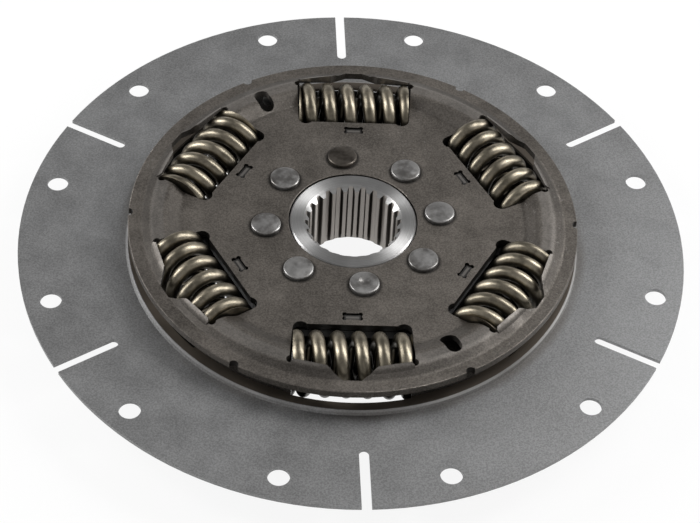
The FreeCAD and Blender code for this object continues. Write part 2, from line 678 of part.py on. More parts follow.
def build_front_friction_ring():
    """The ring between disc and front cover, whose lugs stand in the cover's slots."""
    body = new_body("front_friction_ring")
    inner, outer = dim["friction_inner_r"], dim["friction_outer_r"]
    face = disc_top + dim["face_clear"]
    revolve(body, "friction_blank", [
        Corner(inner, face), Corner(outer, face),
        Corner(outer, front_cover_inside), Corner(inner, front_cover_inside),
    ])
    lug = new_sketch(body, "lug_sketch", turn=dim["pattern_angle"])
    half_l = dim["lug_slot_l"] / 2 - dim["lug_play"]
    half_w = dim["lug_slot_w"] / 2 - dim["lug_play"]
    middle = dim["lug_circle_r"]
    add_outline(lug, [Corner(-half_l, middle - half_w), Corner(half_l, middle - half_w),
                      Corner(half_l, middle + half_w), Corner(-half_l, middle + half_w)])
    raised = body.newObject("PartDesign::Pad", "lug")
    raised.Profile = lug
    lug_top = mid_plane + dim["cover_flat_h"] - dim["lug_below_face"]
    raised.setExpression("Length", lug_top.text)
    raised.Length = lug_top.number
    under = new_sketch(body, "lug_trim_sketch", turn=dim["pattern_angle"])
    add_outline(under, [Corner(-half_l, middle - half_w), Corner(half_l, middle - half_w),
                        Corner(half_l, middle + half_w), Corner(-half_l, middle + half_w)])
    trim = body.newObject("PartDesign::Pocket", "lug_trim")
    trim.Profile = under
    trim.Reversed = True
    trim.setExpression("Length", face.text)
    trim.Length = face.number
    under.Visibility = False
    lug.Visibility = False
    repeat(body, "lugs", [raised, trim], dim["spring_count"])
    return body


def build_rear_friction_ring():
    """The friction ring that runs on the rear face of the drive disc."""
    body = new_body("rear_friction_ring")
    inner, outer = dim["friction_inner_r"], dim["friction_outer_r"]
    face = disc_bottom - dim["face_clear"]
    low = disc_bottom - dim["rear_friction_sheet"]
    revolve(body, "friction_ring", [
        Corner(inner, low), Corner(outer, low), Corner(outer, face), Corner(inner, face),
    ])
    return body


def build_spring_washer():
    """The conical spring washer that presses the friction stack together."""
    body = new_body("spring_washer")
    high = disc_bottom - dim["rear_friction_sheet"]
    low = rear_cover_inside
    seat, thick = dim["washer_seat"], dim["washer_sheet"]
    inner, outer = dim["washer_inner_r"], dim["washer_outer_r"]
    revolve(body, "washer_cone", [
        Corner(inner, high - thick), Corner(inner + seat, high - thick), Corner(outer - seat, low),
        Corner(outer, low), Corner(outer, low + thick), Corner(outer - seat, low + thick),
        Corner(inner + seat, high), Corner(inner, high),
    ])
    return body


def add_piece(label, shape, place=None):
    """Add a finished shape as a feature of its own."""
    feature = doc.addObject("Part::Feature", label)
    feature.Label = label
    feature.Shape = shape
    feature.Placement = place or FreeCAD.Placement()
    return feature


def rivet_shape(shank_r, head_r, rim_h, head_h, low, high):
    """A rivet along Z with a low domed head at each end; low and high are its two seats."""
    rise = head_h - rim_h
    dome_r = (head_r ** 2 + rise ** 2) / (2 * rise)
    lean = math.asin(head_r / dome_r) / 2

    def dome(seat, way):
        """The arc of a head from its rim to its top, with its centre on the rivet's axis."""
        top = seat + head_h * way
        part_way = Vector(dome_r * math.sin(lean), 0, top - dome_r * (1 - math.cos(lean)) * way)
        return Vector(head_r, 0, seat + rim_h * way), part_way, Vector(0, 0, top)

    upper, lower = dome(high, 1), dome(low, -1)
    sides = [upper[0], Vector(head_r, 0, high), Vector(shank_r, 0, high), Vector(shank_r, 0, low),
             Vector(head_r, 0, low), lower[0]]
    edges = [Part.makeLine(a, b) for a, b in zip(sides, sides[1:])]
    edges += [Part.Arc(*lower).toShape(), Part.makeLine(lower[2], upper[2]), Part.Arc(*upper[::-1]).toShape()]
    return Part.Face(Part.Wire(edges)).revolve(Vector(), Vector(0, 0, 1), 360)


def build_hub_rivets():
    """The rivets through front cover, hub flange and rear cover."""
    low = (mid_plane - dim["cover_flat_h"]).number
    high = (mid_plane + dim["cover_flat_h"]).number
    rivet = rivet_shape(dim["hub_rivet_d"].number / 2, dim["hub_rivet_head_d"].number / 2,
                        dim["hub_rivet_rim_h"].number, dim["hub_rivet_head_h"].number, low, high)
    rivets = []
    count = int(dim["hub_rivet_count"].number)
    for place in range(count):
        angle = dim["hub_rivet_angle"].number + 360 / count * place
        turned = rivet.translated(Vector(dim["hub_rivet_r"].number, 0, 0))
        rivets.append(turned.rotated(Vector(), Vector(0, 0, 1), angle))
    return add_piece("hub_rivets", Part.makeCompound(rivets))


def build_drive_rivets():
    """The rivets between the arms of the drive disc and the tongues of the flex plate."""
    rivet = rivet_shape(dim["drive_rivet_d"].number / 2, dim["drive_rivet_head_d"].number / 2,
                        dim["drive_rivet_head_h"].number * 0.6, dim["drive_rivet_head_h"].number,
                        rim_bottom.number, disc_top.number)
    rivets = []
    count = int(dim["spring_count"].number)
    for place in range(count):
        for side in (-1, 1):
            angle = 90 + web_angle.number + 360 / count * place + dim["drive_rivet_angle"].number * side
            turned = rivet.translated(Vector(dim["drive_rivet_r"].number, 0, 0))
            rivets.append(turned.rotated(Vector(), Vector(0, 0, 1), angle))
    return add_piece("drive_rivets", Part.makeCompound(rivets))


def coil_path(mean_r, rises, hand):
    """A coil about X as half circles that meet with a common tangent.

    rises gives each half turn's advance; hand is 1 for a right-hand coil and -1 for a left-hand one.
    """
    edges = []
    along = 0.0
    for place, rise in enumerate(rises):
        way = 1 if place % 2 == 0 else -1
        start = Vector(along, 0, mean_r * way)
        end = Vector(along + rise, 0, -mean_r * way)
        middle = Vector(along + rise / 2, -math.hypot(mean_r, rise / 2) * way * hand, 0)
        edges.append(Part.Arc(start, middle, end).toShape())
        along += rise
    return Part.Wire(edges), along


def coil_shape(coil_d, wire_d, turns, length, hand):
    """A compression spring along X, centred on the origin, with closed and ground ends."""
    mean_r = (coil_d - wire_d) / 2
    closing = wire_d * dim["end_coil_share"].number / 2
    open_half_turns = int(round(turns * 2))
    rise = (length - 2 * closing) / open_half_turns
    path, run = coil_path(mean_r, [closing] + [rise] * open_half_turns + [closing], hand)
    section = Part.Wire(Part.makeCircle(wire_d / 2, Vector(0, 0, mean_r), Vector(0, 1, 0)))
    swept = path.makePipeShell([section], True, False)
    swept.translate(Vector(-run / 2, 0, 0))
    ground = Part.makeBox(length, coil_d * 2, coil_d * 2, Vector(-length / 2, -coil_d, -coil_d))
    return swept.common(ground).Solids[0]


def build_springs():
    """One stout and one thin coil at each of the spring places."""
    pieces = []
    length = dim["spring_length"].number
    for name, hand in (("outer", 1), ("inner", -1)):
        coil = coil_shape(dim[name + "_coil_d"].number, dim[name + "_wire_d"].number,
                          dim[name + "_coil_turns"].number, length, hand)
        for place in range(int(dim["spring_count"].number)):
            phase = dim["spring_phase_%d" % (place % 6 + 1)].number * hand
            turn = FreeCAD.Rotation(Vector(0, 0, 1), dim["pattern_angle"].number - window_step.number * place)
            centre = turn.multVec(Vector(0, dim["spring_circle_r"].number, 0))
            centre.z = mid_plane.number
            label = "%s_spring_%d" % (name, place + 1)
            turned = coil.rotated(Vector(), Vector(1, 0, 0), phase)
            pieces.append(add_piece(label, turned, FreeCAD.Placement(centre, turn)))
    return pieces


def check_document():
    """Stop if any object of the document failed."""
    for item in doc.Objects:
        if "Invalid" in item.State or "Error" in item.State:
            raise RuntimeError("%s did not build" % item.Label)


def write_pieces(pieces):
    """Write each piece to its own file after testing its shape."""
    os.makedirs("parts", exist_ok=True)
    for piece in pieces:
        shape = piece.Shape
        if shape.isNull() or not shape.isValid() or shape.Volume <= 0:
            raise RuntimeError("%s has no valid solid" % piece.Label)
        shape.exportStep(os.path.join("parts", piece.Label + ".step"))
        box = shape.BoundBox
        print("%-20s solids %2d volume %9.0f z %6.1f to %6.1f" % (
            piece.Label, len(shape.Solids), shape.Volume, box.ZMin, box.ZMax))


def main():
    """Build every piece, recompute, test and write."""
    pieces = [
        build_flex_plate(), build_drive_disc(), build_cover("front_cover", 1), build_cover("rear_cover", -1),
        build_hub(), build_bush(), build_front_friction_ring(), build_rear_friction_ring(), build_spring_washer(),
        build_hub_rivets(), build_drive_rivets(),
    ]
    pieces += build_springs()
    doc.recompute()
    check_document()
    write_pieces(pieces)


main()
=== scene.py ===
"""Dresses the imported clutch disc: coil springs, rivets and finishes, with a camera and a plain studio.

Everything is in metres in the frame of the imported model. The hub axis is Z, and the flex plate's rear
face lies at Z = 0.
"""

from __future__ import annotations

import logging
import math
from dataclasses import dataclass, field, replace
from enum import Enum
from typing import Protocol

import bmesh
import bpy
from mathutils import Matrix, Vector

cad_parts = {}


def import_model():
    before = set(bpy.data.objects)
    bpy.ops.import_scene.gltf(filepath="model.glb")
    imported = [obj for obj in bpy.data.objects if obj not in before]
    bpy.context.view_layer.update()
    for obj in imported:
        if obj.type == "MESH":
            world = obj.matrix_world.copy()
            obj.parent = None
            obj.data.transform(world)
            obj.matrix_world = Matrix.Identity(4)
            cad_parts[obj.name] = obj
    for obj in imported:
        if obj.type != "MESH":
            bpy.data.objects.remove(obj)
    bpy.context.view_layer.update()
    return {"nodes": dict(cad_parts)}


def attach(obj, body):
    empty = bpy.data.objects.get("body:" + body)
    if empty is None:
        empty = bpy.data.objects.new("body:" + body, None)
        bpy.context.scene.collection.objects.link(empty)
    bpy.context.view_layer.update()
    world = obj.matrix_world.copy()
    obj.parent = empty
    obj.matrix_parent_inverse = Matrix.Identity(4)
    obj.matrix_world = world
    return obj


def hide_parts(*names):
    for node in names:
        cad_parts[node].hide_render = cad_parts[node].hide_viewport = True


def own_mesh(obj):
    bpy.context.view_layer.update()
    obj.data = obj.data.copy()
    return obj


log = logging.getLogger("clutch_disc")

MM = 0.001
SAME_POINT = 0.001 * MM
ON_PLANE = 0.0001 * MM
DISPLAY_GAMMA = 2.2
SHARP_ANGLE = 35.0

Colour = tuple[float, float, float]
Range = tuple[float, float]
Socket = bpy.types.NodeSocket


class Body(Enum):
    """The bodies of the damper that pieces ride on."""

    DRIVE = "drive"
    DRIVEN = "driven"
    SPRINGS = "springs"


class Hand(Enum):
    """The way a coil is wound."""

    RIGHT = 1
    LEFT = -1


def grey(level: float, warmth: float = 0.0) -> Colour:
    """Make a linear grey from a display level.

    Args:
        level: the level on a display, from 0 to 1.
        warmth: how far red rises and blue falls, as a share.

    Returns:
        The colour in linear light.
    """
    linear = level ** DISPLAY_GAMMA
    return (linear * (1 + warmth), linear, linear * (1 - warmth))


@dataclass(frozen=True)
class Noise:
    """A noise pattern, and the part of its values that is stretched over the whole range."""

    scale: float
    detail: float = 3.0
    rough: float = 0.55
    spread: Range = (0.3, 0.7)


@dataclass(frozen=True)
class Belt:
    """A ring of the disc with a tone of its own, and how wide its soft edges are."""

    inner: float
    outer: float
    blur: float
    share: float = 1.0


@dataclass(frozen=True)
class Relief:
    """How deep a pattern cuts into the surface, and how much of that shows."""

    depth: float
    strength: float


SHEET_GRAIN = Noise(1100.0, rough=0.75, spread=(0.35, 0.65))
LINING_GRAIN = Noise(700.0, 4.0, 0.7)
LINING_RELIEF = Relief(0.05 * MM, 0.5)


class Finish(Protocol):
    """The look of a surface, which can build itself as a material."""

    def build(self) -> bpy.types.Material:
        """Build the material."""


class Wiring:
    """Builds one material's node tree, a node at a time."""

    def __init__(self, name: str) -> None:
        """Start an empty material with a Principled shader.

        Args:
            name: the material's name.
        """
        self.material = bpy.data.materials.new(name)
        self.material.use_nodes = True
        self.tree = self.material.node_tree
        self.shader = self.tree.nodes["Principled BSDF"]
        self.place = self.node("ShaderNodeTexCoord").outputs["Object"]

    def node(self, kind: str, **settings: object) -> bpy.types.Node:
        """Add a node.

        Args:
            kind: the node's type name.
            settings: attributes to set on it.

        Returns:
            The new node.
        """
        made = self.tree.nodes.new(kind)
        for name, value in settings.items():
            setattr(made, name, value)
        return made

    def plug(self, source: Socket | float | tuple, socket: Socket) -> None:
        """Join a socket to another one, or give it a fixed value.

        Args:
            source: an output socket or a plain value.
            socket: the input socket.
        """
        if isinstance(source, Socket):
            self.tree.links.new(source, socket)
        else:
            socket.default_value = source

    def noise(self, pattern: Noise, place: Socket | None = None) -> Socket:
        """Add a noise pattern in Object coordinates.

        Args:
            pattern: its features per metre, and how many finer octaves it has.
            place: coordinates in place of the object's own.

        Returns:
            The pattern's value socket.
        """
        made = self.node("ShaderNodeTexNoise")
        self.plug(place or self.place, made.inputs["Vector"])
        self.plug(pattern.scale, made.inputs["Scale"])
        self.plug(pattern.detail, made.inputs["Detail"])
        self.plug(pattern.rough, made.inputs["Roughness"])
        return made.outputs["Fac"]

    def spots(self, pattern: Noise, low: float = 0.0, high: float = 1.0) -> Socket:
        """Add a noise pattern whose spread runs between two values.

        Args:
            pattern: the noise and its spread.
            low: what the spread's start becomes.
            high: what its end becomes.

        Returns:
            The spots' value socket.
        """
        return self.fit(self.noise(pattern), *pattern.spread, low, high)

    def math(self, kind: str, first: Socket | float, second: Socket | float = 0.0,
             clamp: bool = False) -> Socket:
        """Add a sum, product or other function of two values.

        Args:
            kind: the operation.
            first: the first value or socket.
            second: the second value or socket.
            clamp: keep the result between 0 and 1.

        Returns:
            The result's socket.
        """
        made = self.node("ShaderNodeMath", operation=kind, use_clamp=clamp)
        self.plug(first, made.inputs[0])
        self.plug(second, made.inputs[1])
        return made.outputs[0]

    def product(self, first: Socket | float, second: Socket | float) -> Socket:
        """Multiply two values or sockets."""
        return self.math("MULTIPLY", first, second)

    def distance(self, outwards: Socket, sideways: Socket) -> Socket:
        """The length of two legs at a right angle."""
        squares = [self.math("POWER", self.math("ABSOLUTE", leg), 2.0) for leg in (outwards, sideways)]
        return self.math("SQRT", self.math("ADD", *squares))

    def fit(self, value: Socket, low: float, high: float, to_low: float = 0.0,
            to_high: float = 1.0) -> Socket:
        """Stretch a value from one range to another, smoothly and without leaving it.

        Args:
            value: the value's socket.
            low: the start of its range.
            high: the end of its range.
            to_low: what the start becomes.
            to_high: what the end becomes.

        Returns:
            The new value's socket.
        """
        made = self.node("ShaderNodeMapRange", interpolation_type="SMOOTHSTEP")
        for socket, number in zip(made.inputs[:5], (value, low, high, to_low, to_high)):
            self.plug(number, socket)
        return made.outputs["Result"]

    def mix(self, share: Socket | float, first: Socket | Colour, second: Socket | Colour) -> Socket:
        """Mix two colours.

        Args:
            share: how much of the second, from 0 to 1.
            first: a colour or socket.
            second: a colour or socket.

        Returns:
            The mixed colour's socket.
        """
        made = self.node("ShaderNodeMix", data_type="RGBA")
        self.plug(share, made.inputs["Factor"])
        for socket, colour in ((made.inputs[6], first), (made.inputs[7], second)):
            self.plug((*colour, 1.0) if isinstance(colour, tuple) else colour, socket)
        return made.outputs[2]

    def radius(self) -> Socket:
        """The distance from the hub axis, in metres."""
        split = self.node("ShaderNodeSeparateXYZ")
        self.plug(self.place, split.inputs[0])
        flat = self.node("ShaderNodeCombineXYZ")
        self.plug(split.outputs["X"], flat.inputs["X"])
        self.plug(split.outputs["Y"], flat.inputs["Y"])
        length = self.node("ShaderNodeVectorMath", operation="LENGTH")
        self.plug(flat.outputs[0], length.inputs[0])
        return length.outputs["Value"]

    def height(self) -> Socket:
        """The height above the flex plate's rear face, in metres."""
        split = self.node("ShaderNodeSeparateXYZ")
        self.plug(self.place, split.inputs[0])
        return split.outputs["Z"]

    def facing(self) -> Socket:
        """How far the surface faces up: 1 for a top, 0 for a wall, -1 for an underside."""
        split = self.node("ShaderNodeSeparateXYZ")
        self.plug(self.node("ShaderNodeNewGeometry").outputs["Normal"], split.inputs[0])
        return split.outputs["Z"]

    def beside(self, count: int, first: float, circle: float) -> tuple[Socket, Socket]:
        """Coordinates seen from the nearest of some points spaced evenly on a circle.

        Args:
            count: how many points there are.
            first: the angle of one of them, in degrees from X.
            circle: the radius of the circle.

        Returns:
            The sockets of the distances outwards and sideways from that point.
        """
        split = self.node("ShaderNodeSeparateXYZ")
        self.plug(self.place, split.inputs[0])
        turn = self.math("ARCTAN2", split.outputs["Y"], split.outputs["X"])
        share = self.math("DIVIDE", self.math("SUBTRACT", turn, math.radians(first)), math.tau / count)
        rest = self.product(self.math("SUBTRACT", share, self.math("ROUND", share)), math.tau / count)
        radius = self.radius()
        outwards = self.math("SUBTRACT", self.product(radius, self.math("COSINE", rest)), circle)
        return outwards, self.product(radius, self.math("SINE", rest))

    def band(self, value: Socket, low: float, high: float, blur: float) -> Socket:
        """A soft-edged band of a value.

        Args:
            value: the value's socket.
            low: where the band begins.
            high: where the band ends.
            blur: the width of its soft edges.

        Returns:
            A socket that is 1 within the band and 0 away from it.
        """
        away = self.math("ABSOLUTE", self.math("SUBTRACT", value, (low + high) / 2))
        half = (high - low) / 2
        return self.fit(away, half, half + blur, 1.0, 0.0)

    def belt(self, radius: Socket, belt: Belt) -> Socket:
        """A soft-edged ring about the hub axis.

        Args:
            radius: the socket of the distance from the axis.
            belt: the ring.

        Returns:
            A socket that is the belt's share on it and 0 away from it.
        """
        return self.product(self.band(radius, belt.inner, belt.outer, belt.blur), belt.share)

    def along_ring(self, per_radius: float, per_height: float) -> Socket:
        """Coordinates that don't vary round the axis, for marks left by turning.

        Args:
            per_radius: how much the pattern moves on for each metre outwards.
            per_height: how much it moves on for each metre up.

        Returns:
            The coordinates' socket.
        """
        line = self.node("ShaderNodeCombineXYZ")
        self.plug(self.product(self.radius(), per_radius), line.inputs["X"])
        self.plug(self.product(self.height(), per_height), line.inputs["Y"])
        return line.outputs[0]

    def bump(self, pattern: Socket, relief: Relief) -> None:
        """Give the surface relief.

        Args:
            pattern: the socket of its pattern, from 0 to 1.
            relief: its depth and strength.
        """
        made = self.node("ShaderNodeBump")
        self.plug(relief.strength, made.inputs["Strength"])
        self.plug(relief.depth, made.inputs["Distance"])
        self.plug(pattern, made.inputs["Height"])
        self.plug(made.outputs["Normal"], self.shader.inputs["Normal"])

    def finish(self, colour: Socket | Colour, roughness: Socket | float, metal: float) -> bpy.types.Material:
        """Feed the shader.

        Args:
            colour: base colour or socket.
            roughness: roughness or socket.
            metal: how metallic the surface is.

        Returns:
            The finished material.
        """
        self.plug((*colour, 1.0) if isinstance(colour, tuple) else colour, self.shader.inputs["Base Color"])
        self.plug(roughness, self.shader.inputs["Roughness"])
        self.plug(metal, self.shader.inputs["Metallic"])
        return self.material


@dataclass(frozen=True)
class RolledSheetFinish:
    """Dull rolled sheet steel of the flex plate, with painted shade at the foot of its step and over the
    plate inside it, a painted highlight ring on a bend line, and wear along the top of the step with a
    painted highlight on it.
    """

    name: str = "rolled_sheet"
    light: Colour = grey(0.53, -0.008)
    dark: Colour = grey(0.48, 0.0)
    # Painted shade: the dark brown for the foot of the step and for the plate inside it, which lie in the
    # cover's shade.
    painted_shade: Colour = grey(0.32, 0.20)
    # Burnished tone of the step's top edge, which also serves as a painted highlight there.
    burnished_and_highlight: Colour = grey(0.78, 0.02)
    grain_dark: Colour = grey(0.34)
    grain_light: Colour = grey(0.68)
    grain_share: float = 0.3
    # A lighter ring at 139 mm: a painted highlight along a bend line that the plate's shape doesn't have.
    bend_highlight: Belt = Belt(139.0 * MM, 139.0 * MM, 0.9 * MM, 0.12)
    bend_highlight_tone: Colour = grey(0.58)
    step_edge: Belt = Belt(116.5 * MM, 117.1 * MM, 0.25 * MM)
    step_foot: Belt = Belt(117.9 * MM, 118.6 * MM, 5.0 * MM)
    inside_blur: float = 0.3 * MM
    cloud: Noise = Noise(9.0, 2.0)
    # Noise that breaks up the painted shade at the foot of the step.
    grime: Noise = Noise(7.0, spread=(0.42, 0.62))
    shading_share: Range = (0.1, 0.5)
    wear: Noise = Noise(12.0, 2.0, spread=(0.4, 0.6))
    wear_share: Range = (0.15, 0.55)
    wear_polish: float = 0.06
    dullness: Noise = Noise(60.0, 4.0)
    roughness: Range = (0.42, 0.56)
    pits: Noise = Noise(1400.0, 3.0, 0.7)
    pit_relief: Relief = Relief(0.02 * MM, 0.35)
    metal: float = 0.75

    def build(self) -> bpy.types.Material:
        """Build the material."""
        wires = Wiring(self.name)
        radius = wires.radius()
        colour = wires.mix(wires.spots(self.cloud), self.dark, self.light)
        grain = wires.mix(wires.spots(SHEET_GRAIN), self.grain_dark, self.grain_light)
        colour = wires.mix(self.grain_share, colour, grain)
        # Painted shade at the foot of the step, broken up by noise.
        grime = wires.product(wires.belt(radius, self.step_foot), wires.spots(self.grime, *self.shading_share))
        colour = wires.mix(grime, colour, self.painted_shade)
        # Painted highlight along the bend line.
        colour = wires.mix(wires.belt(radius, self.bend_highlight), colour, self.bend_highlight_tone)
        # Painted shade over the plate inside the step, under the cover.
        inside = wires.fit(radius, self.step_edge.inner - self.inside_blur, self.step_edge.inner, 1.0, 0.0)
        colour = wires.mix(inside, colour, self.painted_shade)
        # Wear along the step's top edge: lighter and smoother, with a painted highlight in its colour.
        wear_and_highlight = wires.product(wires.belt(radius, self.step_edge), wires.spots(self.wear, *self.wear_share))
        colour = wires.mix(wear_and_highlight, colour, self.burnished_and_highlight)
        rough = wires.spots(self.dullness, *self.roughness)
        rough = wires.math("SUBTRACT", rough, wires.product(wear_and_highlight, self.wear_polish))
        wires.bump(wires.noise(self.pits), self.pit_relief)
        return wires.finish(colour, rough, self.metal)


@dataclass(frozen=True)
class PressedSheetFinish:
    """Blotchy, phosphated steel of the cover plates, with painted highlight on the crests and painted shade
    in the hollows, on the outer slope, round the rivets, on edges and walls, and on the faces that look into
    the damper.
    """

    name: str = "pressed_sheet"
    light: Colour = grey(0.375, 0.13)
    dark: Colour = grey(0.28, 0.15)
    # Painted shade: the dark tone for every painted shade on the covers.
    painted_shade: Colour = grey(0.12, 0.12)
    grain_dark: Colour = grey(0.14, 0.1)
    grain_light: Colour = grey(0.5, 0.1)
    grain_share: float = 0.3
    # Faces that look into the damper get painted shade.
    inside_faces: float = -1.0
    inside_share: float = 0.9
    # Painted shade in the hollow between the windows and on the outer slope.
    hollow: Belt = Belt(90.0 * MM, 94.5 * MM, 3.0 * MM, 0.3)
    slope: Belt = Belt(105.8 * MM, 108.2 * MM, 1.8 * MM, 0.42)
    # A lighter belt on the crest: a painted highlight.
    crest: Belt = Belt(99.0 * MM, 103.5 * MM, 2.0 * MM, 0.16)
    rubbed_and_highlight: Colour = grey(0.6, 0.04)
    # The rim notches' walls get painted shade.
    rim_notches: Belt = Belt(112.0 * MM, 115.6 * MM, 0.2 * MM)
    # How far out from the axis the painted shade on walls and inside faces reaches.
    shade_reach: float = 98.5 * MM
    shade_blur: float = 1.0 * MM
    wall_share: float = 0.85
    wall_steepness: Range = (0.15, 0.6)
    face_steepness: Range = (0.2, 0.6)
    rivet_count: int = 8
    rivet_angle: float = 4.9
    rivet_circle: float = 45.3 * MM
    # A dark ring round each rivet head: painted contact shadow.
    rivet_shade_ring: Range = (7.9 * MM, 9.8 * MM)
    rivet_shade_share: float = 0.85
    cloud: Noise = Noise(32.0, 5.0, 0.62, (0.32, 0.68))
    flecks: Noise = Noise(600.0, 3.0, 0.6, (0.62, 0.7))
    fleck_patches: Noise = Noise(16.0, 2.0, spread=(0.52, 0.64))
    fleck_tone: Colour = grey(0.55, 0.05)
    fleck_share: float = 0.4
    dullness: Noise = Noise(90.0, 4.0)
    roughness: Range = (0.40, 0.58)
    pits: Noise = Noise(1300.0, 4.0, 0.75)
    pit_relief: Relief = Relief(0.03 * MM, 0.6)
    metal: float = 0.7

    def build(self) -> bpy.types.Material:
        """Build the material."""
        wires = Wiring(self.name)
        radius, up = wires.radius(), wires.facing()
        colour = wires.mix(wires.spots(self.cloud), self.dark, self.light)
        grain = wires.mix(wires.spots(SHEET_GRAIN), self.grain_dark, self.grain_light)
        colour = wires.mix(self.grain_share, colour, grain)
        # Painted shade in the hollow and on the outer slope.
        colour = wires.mix(wires.belt(radius, self.hollow), colour, self.painted_shade)
        colour = wires.mix(wires.belt(radius, self.slope), colour, self.painted_shade)
        # Painted highlight on the crest.
        colour = wires.mix(wires.belt(radius, self.crest), colour, self.rubbed_and_highlight)
        flecks = wires.product(wires.spots(self.flecks), wires.spots(self.fleck_patches))
        colour = wires.mix(wires.product(flecks, self.fleck_share), colour, self.fleck_tone)
        # Painted contact shadow round the rivet heads.
        away = wires.distance(*wires.beside(self.rivet_count, self.rivet_angle, self.rivet_circle))
        colour = wires.mix(wires.fit(away, *self.rivet_shade_ring, self.rivet_shade_share, 0.0), colour, self.painted_shade)
        # Painted shade on steep walls within reach and on the rim notches' walls, then on the faces that look
        # into the damper.
        near = wires.fit(radius, self.shade_reach, self.shade_reach + self.shade_blur, 1.0, 0.0)
        painted_shade = wires.math("ADD", near, wires.belt(radius, self.rim_notches), True)
        steep = wires.fit(wires.math("ABSOLUTE", up), *self.wall_steepness, 1.0, 0.0)
        colour = wires.mix(wires.product(wires.product(steep, painted_shade), self.wall_share), colour, self.painted_shade)
        inside = wires.fit(wires.product(up, self.inside_faces), *self.face_steepness, 0.0, self.inside_share)
        colour = wires.mix(wires.product(inside, near), colour, self.painted_shade)
        wires.bump(wires.noise(self.pits), self.pit_relief)
        return wires.finish(colour, wires.spots(self.dullness, *self.roughness), self.metal)


@dataclass(frozen=True)
class TurnedSteelFinish:
    """Machined steel of the hub, with fine rings from the lathe on its end faces and painted shade on the
    spline's flanks.
    """

    name: str = "turned_steel"
    light: Colour = grey(0.76, 0.01)
    dark: Colour = grey(0.60, 0.02)
    # Painted shade for the spline's flanks.
    grime: Colour = grey(0.16, 0.16)
    cloud: Noise = Noise(70.0)
    cloud_dark: Colour = grey(0.46)
    cloud_light: Colour = grey(0.72)
    cloud_share: float = 0.25
    steepness: Range = (0.3, 0.6)
    tooth_crest: Colour = grey(0.66, 0.08)
    crest_share: float = 0.8
    tooth_flanks: Belt = Belt(23.5 * MM, 24.6 * MM, 0.3 * MM)
    flank_share: float = 0.92
    rings: Noise = Noise(1.0, 3.0, 0.7)
    ring_density: Range = (9000.0, 3600.0)
    ring_relief: Relief = Relief(0.01 * MM, 0.5)
    groove_gloss: float = 0.92
    groove_turn: float = 0.25
    roughness: Range = (0.40, 0.46)
    metal: float = 1.0

    def build(self) -> bpy.types.Material:
        """Build the material."""
        wires = Wiring(self.name)
        rings = wires.noise(self.rings, wires.along_ring(*self.ring_density))
        upright = wires.math("ABSOLUTE", wires.facing())
        colour = wires.mix(wires.fit(rings, *self.rings.spread), self.dark, self.light)
        cloud = wires.mix(wires.spots(self.cloud), self.cloud_dark, self.cloud_light)
        colour = wires.mix(self.cloud_share, colour, cloud)
        crest = wires.fit(upright, *self.steepness, self.crest_share, 0.0)
        colour = wires.mix(crest, colour, self.tooth_crest)
        # Painted shade on the spline's flanks, in the tooth spaces.
        flank = wires.product(wires.belt(wires.radius(), self.tooth_flanks),
                              wires.fit(upright, *self.steepness, self.flank_share, 0.0))
        colour = wires.mix(flank, colour, self.grime)
        grooves = wires.node("ShaderNodeTangent", direction_type="RADIAL", axis="Z")
        wires.plug(self.groove_gloss, wires.shader.inputs["Anisotropic"])
        wires.plug(self.groove_turn, wires.shader.inputs["Anisotropic Rotation"])
        wires.plug(grooves.outputs[0], wires.shader.inputs["Tangent"])
        wires.bump(rings, self.ring_relief)
        rough = wires.fit(rings, *self.rings.spread, *self.roughness)
        return wires.finish(colour, rough, self.metal)


@dataclass(frozen=True)
class RivetSteelFinish:
    """Bare steel of the upset rivet heads, with blows of the hammer on it."""

    name: str = "rivet_steel"
    light: Colour = grey(0.58, 0.02)
    dark: Colour = grey(0.39, 0.05)
    cloud: Noise = Noise(90.0, 4.0, 0.6, (0.36, 0.6))
    blows: Noise = Noise(240.0, 4.0, 0.7)
    blow_relief: Relief = Relief(0.1 * MM, 0.6)
    roughness: Range = (0.28, 0.46)
    metal: float = 0.85

    def build(self) -> bpy.types.Material:
        """Build the material."""
        wires = Wiring(self.name)
        blows = wires.noise(self.blows)
        colour = wires.mix(wires.spots(self.cloud), self.dark, self.light)
        wires.bump(blows, self.blow_relief)
        rough = wires.fit(blows, *self.blows.spread, *self.roughness)
        return wires.finish(colour, rough, self.metal)


@dataclass(frozen=True)
class SpringSteelFinish:
    """Oil-tempered, shot-peened wire with a bronze tone, darkened by painted shade towards the bottom of the
    coils, less so on the rearmost turns.
    """

    name: str = "spring_steel"
    light: Colour = (0.325, 0.288, 0.222)
    dark: Colour = (0.13, 0.115, 0.088)
    # Painted shade, darkest low down on the turns.
    painted_shade: Colour = (0.03, 0.026, 0.02)
    shade_heights: Range = (5.0 * MM, 23.5 * MM)
    shade_share: float = 0.92
    rear_heights: Range = (-9.0 * MM, -2.0 * MM)
    rear_share: float = 0.3
    cloud: Noise = Noise(120.0, 4.0, 0.6, (0.32, 0.68))
    peening: Noise = Noise(1500.0, 2.0, 0.6)
    peening_relief: Relief = Relief(0.05 * MM, 0.45)
    roughness: Range = (0.32, 0.44)
    metal: float = 1.0

    def build(self) -> bpy.types.Material:
        """Build the material."""
        wires = Wiring(self.name)
        peening, height = wires.noise(self.peening), wires.height()
        colour = wires.mix(wires.spots(self.cloud), self.dark, self.light)
        # Painted shade, darker towards the bottom of the coils and lighter again on the rearmost turns.
        shade = wires.product(wires.fit(height, *self.shade_heights, self.shade_share, 0.0),
                            wires.fit(height, *self.rear_heights, self.rear_share, 1.0))
        colour = wires.mix(shade, colour, self.painted_shade)
        wires.bump(peening, self.peening_relief)
        rough = wires.fit(peening, *self.peening.spread, *self.roughness)
        return wires.finish(colour, rough, self.metal)


